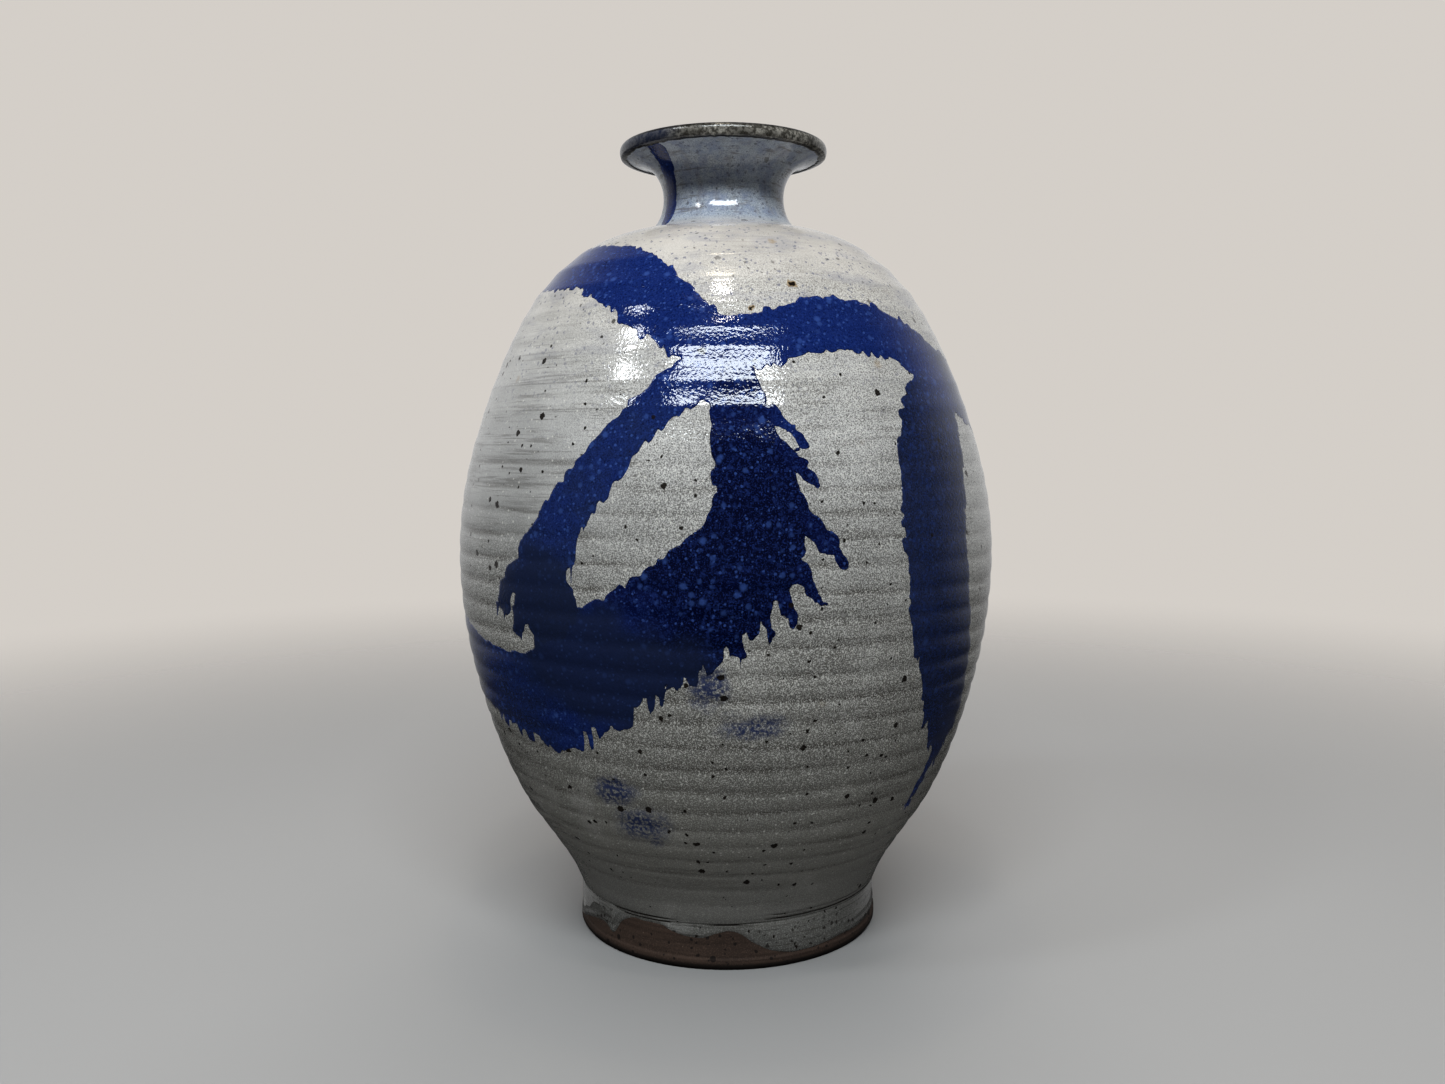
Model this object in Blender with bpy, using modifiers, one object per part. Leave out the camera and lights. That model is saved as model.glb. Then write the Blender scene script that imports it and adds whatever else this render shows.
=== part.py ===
"""Wheel-thrown stoneware bottle vase: the thrown sections that a potter joins into one pot.

Every section is a turned solid about the Z axis. The pot stands on its foot ring at z = 0,
with its centre line on the Z axis. Lengths are in metres.
"""
import math

import bpy
import numpy as np

OBJECT_NAME = "stoneware_bottle_vase"

# Driving dimensions of the outside
HEIGHT = 0.380
BELLY_RADIUS = 0.1302
BELLY_HEIGHT = 0.180
FOOT_RADIUS = 0.0742
FOOT_HEIGHT = 0.0193
FOOT_LEDGE = 0.0050
NECK_RADIUS = 0.0297
NECK_WAIST_HEIGHT = 0.354
CREASE_HEIGHT = 0.339
LIP_RADIUS = 0.0501
LIP_UNDERSIDE = 0.3742

# Thickness of the clay
FOOT_WALL = 0.0085
BELLY_WALL = 0.0068
NECK_WALL = 0.0055
LIP_WALL = 0.0048
FLOOR_BOTTOM = 0.006
FLOOR_TOP = 0.015
RECESS_RADIUS = 0.0640

# Where one thrown section is joined to the next, and the gap kept there
COLLAR_TOP = 0.3655
JOINT_GAP = 0.0003

SEGMENTS = 48
SMOOTH_ANGLE = math.radians(30)
MERGE_DISTANCE = 0.00001

# The outside above the foot, from the foot's groove to the lip's underside, as (radius, height)
OUTSIDE = [
    (0.0729, FOOT_HEIGHT), (0.0746, 0.0240), (0.0786, 0.0320), (0.0846, 0.0420), (0.0926, 0.0540),
    (0.1020, 0.0685), (0.1120, 0.0905), (0.1209, 0.1180), (0.1274, 0.1480), (BELLY_RADIUS, BELLY_HEIGHT),
    (0.1284, 0.2090), (0.1228, 0.2350), (0.1145, 0.2605), (0.1050, 0.2830), (0.0925, 0.3055),
    (0.0784, 0.3210), (0.0640, 0.3310), (0.0500, 0.3366), (0.0385, CREASE_HEIGHT), (0.0342, 0.3420),
    (0.0312, 0.3470), (NECK_RADIUS, NECK_WAIST_HEIGHT), (0.0306, 0.3615), (0.0343, 0.3682),
    (0.0395, 0.3716), (0.0448, 0.3733), (0.0490, LIP_UNDERSIDE),
]

# The thickness of the wall along the outside, as (height, thickness)
WALL = [(FOOT_HEIGHT, FOOT_WALL), (0.060, 0.0074), (BELLY_HEIGHT, BELLY_WALL), (0.300, 0.0062),
        (NECK_WAIST_HEIGHT, NECK_WALL), (LIP_UNDERSIDE, LIP_WALL)]

# The rounded band of the lip, from its underside over the top to the inside of the mouth
LIP_BAND = [(0.0498, 0.3750), (LIP_RADIUS, 0.3770), (0.0496, 0.3789), (0.0482, HEIGHT), (0.0468, 0.3796)]

# The outside of the foot ring, top to bottom, with the low ledge that the trimming tool left
FOOT_OUTSIDE = [
    (0.0727, FOOT_HEIGHT - JOINT_GAP), (0.0731, 0.0170), (0.0730, 0.0120), (0.0735, FOOT_LEDGE + 0.0006),
    (FOOT_RADIUS, FOOT_LEDGE), (FOOT_RADIUS, 0.0014), (0.0732, 0.0),
]

CLAY_COLOR = (0.135, 0.072, 0.050)
BODY_GLAZE_COLOR = (0.46, 0.44, 0.39)
SHOULDER_GLAZE_COLOR = (0.53, 0.50, 0.45)
NECK_GLAZE_COLOR = (0.40, 0.44, 0.49)
RIM_GLAZE_COLOR = (0.060, 0.055, 0.045)


def clear_scene():
    """Removes whatever the scene holds."""
    for obj in list(bpy.data.objects):
        bpy.data.objects.remove(obj, do_unlink=True)


def part_collection():
    """Makes the collection that holds the pot's sections."""
    collection = bpy.data.collections.new(OBJECT_NAME)
    bpy.context.scene.collection.children.link(collection)
    return collection


def material(name, color, roughness):
    """Makes a plain Principled material."""
    made = bpy.data.materials.new(name)
    made.use_nodes = True
    shader = made.node_tree.nodes["Principled BSDF"]
    shader.inputs["Base Color"].default_value = (*color, 1.0)
    shader.inputs["Roughness"].default_value = roughness
    shader.inputs["Metallic"].default_value = 0.0
    made.diffuse_color = (*color, 1.0)
    return made


def smooth_curve(points, steps):
    """Runs a Catmull-Rom curve through the points, with this many steps between two of them."""
    ends = [np.array(p) for p in points]
    ends = [2 * ends[0] - ends[1]] + ends + [2 * ends[-1] - ends[-2]]
    curve = []
    for before, start, end, after in zip(ends, ends[1:], ends[2:], ends[3:]):
        for t in np.arange(steps) / steps:
            linear = (end - before) * t
            square = (2 * before - 5 * start + 4 * end - after) * t**2
            cube = (3 * start - before - 3 * end + after) * t**3
            curve.append(start + 0.5 * (linear + square + cube))
    curve.append(ends[-2])
    return np.array(curve)


def wall_faces(low, high, count):
    """Gives the outer and inner faces of the wall between two heights, bottom to top.

    Both are sampled at the same evenly spaced stations, so the section's ends lie square to the wall.
    """
    curve = smooth_curve(OUTSIDE, 24)
    along = np.concatenate([[0.0], np.cumsum(np.linalg.norm(np.diff(curve, axis=0), axis=1))])
    start = np.interp(low, curve[:, 1], along)
    end = np.interp(high, curve[:, 1], along)
    stations = np.linspace(start + JOINT_GAP / 2, end - JOINT_GAP / 2, count)
    outer = np.column_stack([np.interp(stations, along, curve[:, axis]) for axis in (0, 1)])
    slope = np.gradient(curve, along, axis=0)
    tangent = np.column_stack([np.interp(stations, along, slope[:, axis]) for axis in (0, 1)])
    tangent /= np.linalg.norm(tangent, axis=1)[:, None]
    inward = np.column_stack([-tangent[:, 1], tangent[:, 0]])
    heights, thickness = zip(*WALL)
    inner = outer + inward * np.interp(outer[:, 1], heights, thickness)[:, None]
    return outer, inner


def wall_outline(low, high, count):
    """Closes the wall between two heights into an outline that runs down the outside."""
    outer, inner = wall_faces(low, high, count)
    return [*outer[::-1], *inner]


def lower_outline(count):
    """Closes the lower wall, whose end stands flat on the foot ring."""
    outer, inner = wall_faces(FOOT_HEIGHT, BELLY_HEIGHT, count)
    flat_end = (RECESS_RADIUS + 0.0008, outer[0][1])
    return [*outer[::-1], flat_end, *inner]


def rim_outline(count):
    """Closes the flared mouth: over the lip's band, down the outside, and up the inside."""
    outer, inner = wall_faces(COLLAR_TOP, LIP_UNDERSIDE, count)
    return [*reversed(LIP_BAND), *outer[::-1], *inner[:-1]]


def foot_outline():
    """Outlines the foot ring: its outside, its flat underside and its bore."""
    top = FOOT_HEIGHT - JOINT_GAP
    return [*FOOT_OUTSIDE, (RECESS_RADIUS + 0.0012, 0.0), (RECESS_RADIUS, 0.0014), (RECESS_RADIUS, top)]


def floor_outline():
    """Outlines half of the floor disc, from its middle on top to its middle below."""
    radius = RECESS_RADIUS - JOINT_GAP
    return [(0.0, FLOOR_TOP), (radius, FLOOR_TOP), (radius, FLOOR_BOTTOM), (0.0, FLOOR_BOTTOM)]


def turned(name, outline, closed, finish, collection):
    """Turns an outline of (radius, height) points about the Z axis into one section."""
    points = [(float(radius), 0.0, float(height)) for radius, height in outline]
    edges = [(i, i + 1) for i in range(len(points) - 1)]
    if closed:
        edges.append((len(points) - 1, 0))
    mesh = bpy.data.meshes.new(name)
    mesh.from_pydata(points, edges, [])
    mesh.materials.append(finish)
    section = bpy.data.objects.new(name, mesh)
    collection.objects.link(section)
    screw = section.modifiers.new("Turn", "SCREW")
    screw.axis = "Z"
    screw.angle = math.tau
    screw.steps = SEGMENTS
    screw.render_steps = SEGMENTS
    screw.use_merge_vertices = True
    screw.merge_threshold = MERGE_DISTANCE
    screw.use_smooth_shade = True
    return shade_with_sharp_edges(section)


def shade_with_sharp_edges(section):
    """Applies the turning and shades the section smooth, with its corners kept sharp."""
    graph = bpy.context.evaluated_depsgraph_get()
    mesh = bpy.data.meshes.new_from_object(section.evaluated_get(graph))
    section.modifiers.clear()
    section.data = mesh
    mesh.shade_smooth()
    mesh.set_sharp_from_angle(angle=SMOOTH_ANGLE)
    return section


def build():
    """Makes the six sections of the pot."""
    clear_scene()
    sections = part_collection()
    clay = material("bare_clay", CLAY_COLOR, 0.85)
    floor_clay = material("floor_clay", CLAY_COLOR, 0.80)
    body_glaze = material("body_glaze", BODY_GLAZE_COLOR, 0.30)
    shoulder_glaze = material("shoulder_glaze", SHOULDER_GLAZE_COLOR, 0.28)
    neck_glaze = material("neck_glaze", NECK_GLAZE_COLOR, 0.25)
    rim_glaze = material("rim_glaze", RIM_GLAZE_COLOR, 0.25)
    turned("foot_ring", foot_outline(), True, clay, sections)
    turned("base_disc", floor_outline(), False, floor_clay, sections)
    turned("lower_body", lower_outline(12), True, body_glaze, sections)
    turned("upper_body", wall_outline(BELLY_HEIGHT, CREASE_HEIGHT, 13), True, shoulder_glaze, sections)
    turned("neck_collar", wall_outline(CREASE_HEIGHT, COLLAR_TOP, 8), True, neck_glaze, sections)
    turned("mouth_rim", rim_outline(6), True, rim_glaze, sections)


build()
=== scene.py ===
"""The looks of the stoneware bottle vase: fine thrown walls, glazes and cobalt brushwork.

A place on the pot is given as a turn and an arc. The turn runs round the pot from the front (-Y)
towards +X, from 0 to 1. The arc runs up the outline from the foot's bottom edge. Lengths are in metres,
apart from the strokes' heights, widths and runs in mm, and degrees are turns times 360.
"""
import math

import bpy
import numpy as np
from mathutils import Euler, Matrix, Vector


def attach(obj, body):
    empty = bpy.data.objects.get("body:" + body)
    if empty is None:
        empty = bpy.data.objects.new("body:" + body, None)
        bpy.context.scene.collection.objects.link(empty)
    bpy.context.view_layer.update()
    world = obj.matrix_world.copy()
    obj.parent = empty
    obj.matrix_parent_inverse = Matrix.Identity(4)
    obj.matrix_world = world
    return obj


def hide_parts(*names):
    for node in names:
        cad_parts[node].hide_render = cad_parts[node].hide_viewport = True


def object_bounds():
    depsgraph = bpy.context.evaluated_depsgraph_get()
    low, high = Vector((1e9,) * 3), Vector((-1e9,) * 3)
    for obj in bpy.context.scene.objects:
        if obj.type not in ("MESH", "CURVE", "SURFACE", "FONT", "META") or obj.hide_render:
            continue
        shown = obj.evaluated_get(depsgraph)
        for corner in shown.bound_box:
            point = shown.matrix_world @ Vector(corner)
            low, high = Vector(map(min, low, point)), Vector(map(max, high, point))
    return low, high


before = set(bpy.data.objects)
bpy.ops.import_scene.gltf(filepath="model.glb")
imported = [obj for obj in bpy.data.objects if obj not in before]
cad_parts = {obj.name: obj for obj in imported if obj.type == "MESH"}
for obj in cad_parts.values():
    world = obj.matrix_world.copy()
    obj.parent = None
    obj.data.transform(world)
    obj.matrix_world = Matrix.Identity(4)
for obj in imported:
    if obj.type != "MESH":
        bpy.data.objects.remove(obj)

CAD_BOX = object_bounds()
MM = 0.001

# ==== The outline, with the same points as the CAD's, as (radius, height)

FOOT_TOP = 0.0193
BELLY_HEIGHT = 0.18
CREASE_HEIGHT = 0.339
COLLAR_TOP = 0.3655
LIP_UNDERSIDE = 0.3742
POT_HEIGHT = CAD_BOX[1][2]

FOOT_OUTSIDE = [
    (0.0732, 0.0), (0.0742, 0.0014), (0.0742, 0.0048), (0.0736, 0.0056), (0.073, 0.012),
    (0.0731, 0.017), (0.0729, FOOT_TOP),
]
OUTSIDE = [
    (0.0729, FOOT_TOP), (0.0746, 0.024), (0.0786, 0.032), (0.0846, 0.042), (0.0926, 0.054),
    (0.102, 0.0685), (0.112, 0.0905), (0.1209, 0.118), (0.1274, 0.148), (0.1302, BELLY_HEIGHT),
    (0.1284, 0.209), (0.1228, 0.235), (0.1145, 0.2605), (0.105, 0.283), (0.0925, 0.3055),
    (0.0784, 0.321), (0.064, 0.331), (0.05, 0.3366), (0.0385, CREASE_HEIGHT), (0.0342, 0.342),
    (0.0312, 0.347), (0.0297, 0.354), (0.0306, 0.3615), (0.0343, 0.3682), (0.0395, 0.3716),
    (0.0448, 0.3733), (0.049, LIP_UNDERSIDE),
]
LIP_EDGE = [
    (0.0448, 0.3733), (0.049, LIP_UNDERSIDE), (0.0498, 0.3751), (0.0501, 0.377), (0.0496, 0.3789),
    (0.0482, 0.38), (0.0466, 0.3797), (0.044, 0.3783), (0.04, 0.3768),
]
# The foot's flat ring, the recess inside it and the underside of the floor
RECESS = [(0.0652, 0.0), (0.0641, 0.0014), (0.064, 0.0052), (0.0632, 0.006), (0.056, 0.0061),
          (0.04, 0.0062), (0.02, 0.0063), (0.003, 0.0063)]
FLOOR_INSIDE = [(0.003, 0.015), (0.03, 0.015), (0.05, 0.0151), (0.06, 0.0157), (0.064, 0.018),
                (0.0655, 0.0225)]
# The thickness of the wall, as (height, thickness)
WALL = [(0.0, 0.0085), (FOOT_TOP, 0.0085), (0.06, 0.0074), (BELLY_HEIGHT, 0.0068), (0.3, 0.0062),
        (0.354, 0.0055), (LIP_UNDERSIDE, 0.0048)]


def smooth_curve(points, steps):
    """Runs a Catmull-Rom curve through the points, with this many steps between two of them."""
    ends = [np.array(p, dtype=float) for p in points]
    ends = [2 * ends[0] - ends[1]] + ends + [2 * ends[-1] - ends[-2]]
    curve = []
    for before, start, end, after in zip(ends, ends[1:], ends[2:], ends[3:]):
        for t in np.arange(steps) / steps:
            linear = (end - before) * t
            square = (2 * before - 5 * start + 4 * end - after) * t**2
            cube = (3 * start - before - 3 * end + after) * t**3
            curve.append(start + 0.5 * (linear + square + cube))
    curve.append(ends[-2])
    return np.array(curve)


class Outline:
    """A turned outline, read by its arc length."""

    def __init__(self, curve):
        steps = np.linalg.norm(np.diff(curve, axis=0), axis=1)
        self.arc = np.concatenate([[0.0], np.cumsum(steps)])
        self.curve = curve
        self.length = self.arc[-1]
        slope = np.gradient(curve, self.arc, axis=0)
        slope /= np.linalg.norm(slope, axis=1)[:, None]
        self.outward = np.column_stack([slope[:, 1], -slope[:, 0]])

    def arc_at(self, height):
        """The arc length at a height."""
        return np.interp(height, self.curve[:, 1], self.arc)

    def height_at(self, arc):
        """The height at an arc length."""
        return np.interp(arc, self.arc, self.curve[:, 1])

    def points(self, turn, arc, lift):
        """Points on the turned surface, lifted off it along its normal."""
        radius, height = [np.interp(arc, self.arc, self.curve[:, axis])
                          + lift * np.interp(arc, self.arc, self.outward[:, axis]) for axis in (0, 1)]
        angle = math.tau * turn
        x, y, z = np.broadcast_arrays(radius * np.sin(angle), -radius * np.cos(angle), height)
        return np.stack([x, y, z], axis=-1)


def whole_outline():
    """The outside from the foot's bottom edge to the lip's underside."""
    foot = np.array(FOOT_OUTSIDE)
    heights = np.linspace(0.0, FOOT_TOP, 80)[:-1]
    foot = np.column_stack([np.interp(heights, foot[:, 1], foot[:, 0]), heights])
    return Outline(np.vstack([foot, smooth_curve(OUTSIDE, 40)]))


POT = whole_outline()
LIP = Outline(smooth_curve(LIP_EDGE, 16))

# ==== Noise and relief

NOISE_ROWS = 512


def ease(share):
    """Eases a share from 0 to 1 in and out."""
    return share * share * (3 - 2 * share)


def step_up(value, low, high):
    """Rises smoothly from 0 to 1 as the value goes from low to high."""
    return ease(np.clip((np.asarray(value, dtype=float) - low) / (high - low), 0.0, 1.0))


def cell_noise(turn, along, cells, seed):
    """Smooth noise from 0 to 1. It has this many cells round the pot, and along is counted in cells."""
    table = np.random.default_rng(seed).random((cells, NOISE_ROWS))
    x = np.asarray(turn) % 1.0 * cells
    y = np.asarray(along) % (NOISE_ROWS - 1)
    x, y = np.broadcast_arrays(x, y)
    column = np.floor(x).astype(int)
    row = np.floor(y).astype(int)
    fx = ease(x - column)
    fy = ease(y - row)
    left = column % cells
    right = (column + 1) % cells
    low = table[left, row] * (1 - fx) + table[right, row] * fx
    high = table[left, row + 1] * (1 - fx) + table[right, row + 1] * fx
    return low * (1 - fy) + high * fy


def round_noise(turn, cells, seed):
    """Smooth noise from 0 to 1 that changes only round the pot."""
    return cell_noise(turn, 0 * turn, cells, seed)


def signed_degrees(turn):
    """A turn in degrees, from -180 to 180."""
    return (np.asarray(turn) * 360 + 180) % 360 - 180


def hump(value, middle, width):
    """Rises to 1 at the middle and falls off again over a width."""
    return np.exp(-(((value - middle) / width) ** 2))


RING_PITCH = 0.0106
RING_PHASE = -0.33
RING_DEPTH = 0.0005
RING_SHARPNESS = 2.2
FINE_LINE_DEPTH = 0.00002
DENT_DEPTH = 0.00018
SKIN_INSET = 0.0003
# The glaze pools round the foot, and thins out between these heights
FOOT_GLAZE = 0.00032
FOOT_GLAZE_END = (0.022, 0.036)
# The line cut round the top of the foot
LOW_GROOVE_HEIGHT = 0.0202
LOW_GROOVE_DEPTH = 0.00045
LOW_GROOVE_WIDTH = 0.00042
LOW_GROOVE_TILT = 0.0011
LOW_GROOVE_WAVER = 0.0004
# The shorter lines beside it, as (height above it, slant, strength, the degrees where it fades in and out)
SHORT_GROOVES = [(0.0015, 1.0, 0.9, (-75, -55, -28, -12)), (0.0019, 1.0, 0.9, (6, 20, 66, 96)),
                 (0.0034, 1.5, 0.65, (6, 20, 66, 96)), (-0.006, 2.0, 0.65, (6, 20, 66, 96))]
# How strongly the throwing rings show, as (height, share)
RING_STRENGTH = [(0.0, 0.0), (0.028, 0.1), (0.05, 0.7), (0.08, 1.0), (0.15, 1.0), (0.2, 0.7),
                 (0.235, 0.4), (0.25, 0.05), (0.38, 0.05)]
# The potter's rib left wider hollows on the shoulder, with a ridge between each two at these heights
SHOULDER_RIDGES = (0.24, 0.253, 0.264, 0.2773, 0.2865, 0.2965, 0.307, 0.318, 0.327)
# How deep the hollows between them are, lowest first, as depth over width squared, per metre
HOLLOWNESS = (1.6, 1.6, 1.6, 1.6, 1.9, 2.4, 2.6, 2.2)
RIDGE_WIDTH = 0.0007
RIDGE_WANDER = 0.0016
# Above these heights the rings fade out and the shoulder's ridges take over
RINGS_END = (0.232, 0.248)


def ring_grooves(turn, arc):
    """How deep into a throwing groove each place is, from 0 to 1."""
    wander = 0.55 * cell_noise(turn, arc / 0.05, 4, 3) + 0.18 * cell_noise(turn, arc / 0.017, 9, 5)
    phase = arc / RING_PITCH + RING_PHASE + turn + wander
    return (0.5 + 0.5 * np.cos(math.tau * phase)) ** RING_SHARPNESS


def shoulder_hollows(turn, arc):
    """How deep the shoulder's hollows are, and how near each place is to a ridge, from 0 to 1."""
    ridges = POT.arc_at(np.array(SHOULDER_RIDGES))
    at = arc + RIDGE_WANDER * (round_noise(turn, 5, 9) - 0.5)
    depth, ridge = 0 * at, 0 * at
    for low, high, hollowness in zip(ridges, ridges[1:], HOLLOWNESS):
        across = (2 * at - low - high) / (high - low)
        depth = depth + hollowness * (high - low) ** 2 * np.clip(1 - across * across, 0, 1)
        ridge = ridge + hump(at, high, RIDGE_WIDTH)
    return depth, ridge


def low_grooves(turn, height):
    """How deep into the lines cut round the top of the foot each place is."""
    degrees = signed_degrees(turn)
    level = height - LOW_GROOVE_HEIGHT
    drift = LOW_GROOVE_TILT * np.sin(math.tau * turn + 0.6) + LOW_GROOVE_WAVER * round_noise(turn, 7, 21)
    groove = hump(level, drift, LOW_GROOVE_WIDTH) * (0.6 + 0.65 * round_noise(turn, 9, 23))
    for rise, slant, strength, (start, full, fade, end) in SHORT_GROOVES:
        extent = step_up(degrees, start, full) * (1 - step_up(degrees, fade, end))
        groove = groove + strength * extent * hump(level, rise + slant * drift, LOW_GROOVE_WIDTH)
    return np.clip(groove, 0.0, 1.2)


def ring_relief(turn, arc):
    """The depth of the throwing rings."""
    strength = np.interp(POT.height_at(arc), *zip(*RING_STRENGTH))
    depth = RING_DEPTH * (0.25 + 1.1 * cell_noise(turn, arc / 0.021, 7, 7))
    return depth * ring_grooves(turn, arc) * strength


def glaze_lift(turn, arc):
    """How far the glazed surface lies off the outline, kept inside the CAD's box."""
    height = POT.height_at(arc)
    fine = FINE_LINE_DEPTH * cell_noise(turn, arc / 0.0027, 11, 11)
    dent = DENT_DEPTH * cell_noise(turn, arc / 0.06, 5, 13)
    foot = (FOOT_GLAZE + SKIN_INSET) * (1 - step_up(height, *FOOT_GLAZE_END))
    incised = LOW_GROOVE_DEPTH * low_grooves(turn, height)
    hollow, _ = shoulder_hollows(turn, arc)
    return foot - SKIN_INSET - ring_relief(turn, arc) - hollow - fine - dent - incised


# ==== Meshes


def add_object(name, mesh, finishes):
    """Puts a mesh in the scene with its materials, shaded smooth, as a piece of the fixed pot."""
    for finish in finishes:
        mesh.materials.append(finish)
    obj = bpy.data.objects.new(name, mesh)
    bpy.context.scene.collection.objects.link(obj)
    mesh.shade_smooth()
    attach(obj, "root")
    return obj


def fill_mesh(name, points, faces, values=None, value_name=None):
    """Makes a mesh, with one number for each of its points where values are given."""
    mesh = bpy.data.meshes.new(name)
    mesh.from_pydata(points.tolist(), [], faces)
    if values is not None:
        attribute = mesh.attributes.new(value_name, "FLOAT", "POINT")
        attribute.data.foreach_set("value", np.asarray(values, dtype=np.float32))
    mesh.validate()
    return mesh


def ring_faces(row_count, columns):
    """Quads between rows of points that run round the pot, the last row joined to the first."""
    faces = []
    for row in range(row_count):
        low = row * columns
        high = (row + 1) % row_count * columns
        for column in range(columns):
            right = (column + 1) % columns
            faces.append((low + column, low + right, high + right, high + column))
    return faces


def turns(columns):
    """Evenly spaced turns round the pot."""
    return np.arange(columns) / columns


# ==== Glazed walls

WALL_COLUMNS = 480
WALL_ROW = 0.0012
INNER_ROWS = 16
INNER_RIPPLE = 0.0003

# The lower edge of the glaze round the foot, as (degrees, height)
GLAZE_EDGE = [
    (-165, 0.0085), (-140, 0.012), (-118, 0.0075), (-98, 0.007), (-77, 0.0045), (-63, 0.0087),
    (-55, 0.0109), (-51, 0.01), (-47, 0.0083), (-43, 0.0144), (-38, 0.0181), (-31, 0.0188),
    (-25, 0.0184), (-20, 0.0164), (-14, 0.015), (-9, 0.0148), (-4, 0.017), (1, 0.0178), (5, 0.016),
    (9, 0.0124), (14, 0.0088), (21, 0.0064), (29, 0.006), (41, 0.0065), (58, 0.0068), (75, 0.007),
    (92, 0.01), (110, 0.015), (128, 0.0165), (150, 0.012), (172, 0.0075),
]
EDGE_WAVER = 0.0006
# The glaze's lower edge rounds up to a low roll, with its crest at the bead's width
EDGE_BEAD = 0.0016
EDGE_ROLL = 0.00022
ROLL_WIDTH = 0.0013
EDGE_SINK = 0.00005
# Where the rows that follow the wavy edge give way to level ones
LEVEL_START = 0.03
# The wall's inside ends just above the floor. A thin skirt hangs from there, with its hem behind the edge.
SKIRT_TOP = 0.0245
SKIRT_DEPTH = 0.0012
HEM_DEPTH = 0.0004
HEM_RISE = 0.0006


def glaze_edge_arc(turn):
    """The arc length of the glaze's lower edge round the foot."""
    edge = np.array(GLAZE_EDGE)
    whole_turn = np.array([360.0, 0.0])
    curve = smooth_curve([*(edge[-3:] - whole_turn), *edge, *(edge[:3] + whole_turn)], 10)
    height = np.interp(signed_degrees(turn), curve[:, 0], curve[:, 1])
    height = height + EDGE_WAVER * (round_noise(turn, 90, 31) - 0.5)
    return POT.arc_at(height)


def inner_rows(turn, low_arc, high_arc, count):
    """Rows of the inside, top to bottom."""
    rows = []
    for arc in np.linspace(high_arc, low_arc, count):
        thickness = np.interp(POT.height_at(arc), *zip(*WALL))
        ripple = INNER_RIPPLE * ring_grooves(turn + 0.37, arc)
        rows.append(POT.points(turn, arc, ripple - thickness))
    return rows


def glazed_points(turn, arc):
    """Points on the glazed outside."""
    return POT.points(turn, arc, glaze_lift(turn, arc))


def outer_rows(turn, arcs):
    """Rows of the glazed outside, bottom to top, and their groove values, which add a painted shade line
    along each shoulder ridge.
    """
    rows, grooves = [], []
    for arc in arcs:
        _, ridge = shoulder_hollows(turn, arc)
        rings = 1 - step_up(POT.height_at(arc), *RINGS_END)
        rows.append(glazed_points(turn, arc))
        # Painted shade: nearness to a shoulder ridge is added to the groove values, so the glaze darkens
        # along each ridge.
        grooves.append(ring_grooves(turn, arc) * rings + ridge)
    return rows, grooves


def seam_normals(turn, arc):
    """Normals of the glazed outside along a seam, so that two pieces shade as one."""
    around, up = 0.0005, 0.0004
    eastward = glazed_points(turn + around, arc) - glazed_points(turn - around, arc)
    upward = glazed_points(turn, arc + up) - glazed_points(turn, arc - up)
    normal = np.cross(eastward, upward)
    return normal / np.linalg.norm(normal, axis=1)[:, None]


def glazed_wall(name, rows, grooves, seams, finish):
    """Closes rows of points into a wall, and sets the normals of the rows at its seams."""
    columns = len(rows[0])
    values = np.concatenate(grooves + [np.zeros(columns)] * (len(rows) - len(grooves)))
    mesh = fill_mesh(name, np.concatenate(rows), ring_faces(len(rows), columns), values, "groove")
    mesh.shade_smooth()
    normals = np.zeros((len(rows) * columns, 3))
    for row, normal in seams.items():
        normals[row * columns:(row + 1) * columns] = normal
    mesh.normals_split_custom_set_from_vertices(normals.tolist())
    return add_object(name, mesh, [finish])


def lower_wall(finish):
    """The wall from the glaze's lower edge to the belly. A skirt of glaze hangs over the bare foot."""
    turn = turns(WALL_COLUMNS)
    edge = glaze_edge_arc(turn)
    top = float(POT.arc_at(BELLY_HEIGHT))
    level_start = float(POT.arc_at(LEVEL_START))
    rows, grooves = [], []
    # The rows lie closest together at the glaze's edge
    for share in np.concatenate([np.linspace(0, 0.3, 14)[:-1], np.linspace(0.3, 1, 34)[:-1]]):
        share = share * share * 0.6 + share * 0.4
        arc = edge + (level_start - edge) * share
        round_edge = np.sqrt(1 - (1 - np.clip((arc - edge) / EDGE_BEAD, 0.0, 1.0)) ** 2)
        full = glaze_lift(turn, arc) + EDGE_ROLL * hump(arc, edge + EDGE_BEAD, ROLL_WIDTH)
        rows.append(POT.points(turn, arc, -EDGE_SINK + (full + EDGE_SINK) * round_edge))
        grooves.append(low_grooves(turn, POT.height_at(arc)))
    level = np.linspace(level_start, top, round((top - level_start) / WALL_ROW))
    level_rows, level_grooves = outer_rows(turn, level)
    rows += level_rows
    grooves += level_grooves
    seams = {len(rows) - 1: seam_normals(turn, top)}
    skirt = float(POT.arc_at(SKIRT_TOP))
    rows += inner_rows(turn, skirt, top, INNER_ROWS)
    rows.append(POT.points(turn, skirt, -SKIRT_DEPTH))
    rows.append(POT.points(turn, edge + HEM_RISE, -HEM_DEPTH))
    wall = glazed_wall("lower_body_wall", rows, grooves, seams, finish)
    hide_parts("lower_body")


def middle_wall(name, low, high, finish, node, columns=WALL_COLUMNS):
    """A wall section whose two ends meet its neighbours."""
    turn = turns(columns)
    start, end = float(POT.arc_at(low)), float(POT.arc_at(high))
    rows, grooves = outer_rows(turn, np.linspace(start, end, round((end - start) / WALL_ROW)))
    seams = {0: seam_normals(turn, start), len(rows) - 1: seam_normals(turn, end)}
    rows += inner_rows(turn, start, end, INNER_ROWS)
    wall = glazed_wall(name, rows, grooves, seams, finish)
    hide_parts(node)


RIM_COLUMNS = 240
RIM_INSET = 0.00028
# The iron band starts at a radius on the lip's underside, and ends at a share of the outline's length
BAND_START = 0.0463
BAND_END = 0.8
CORE_START = 0.049
BAND_ROUNDING = 0.0008
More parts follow.
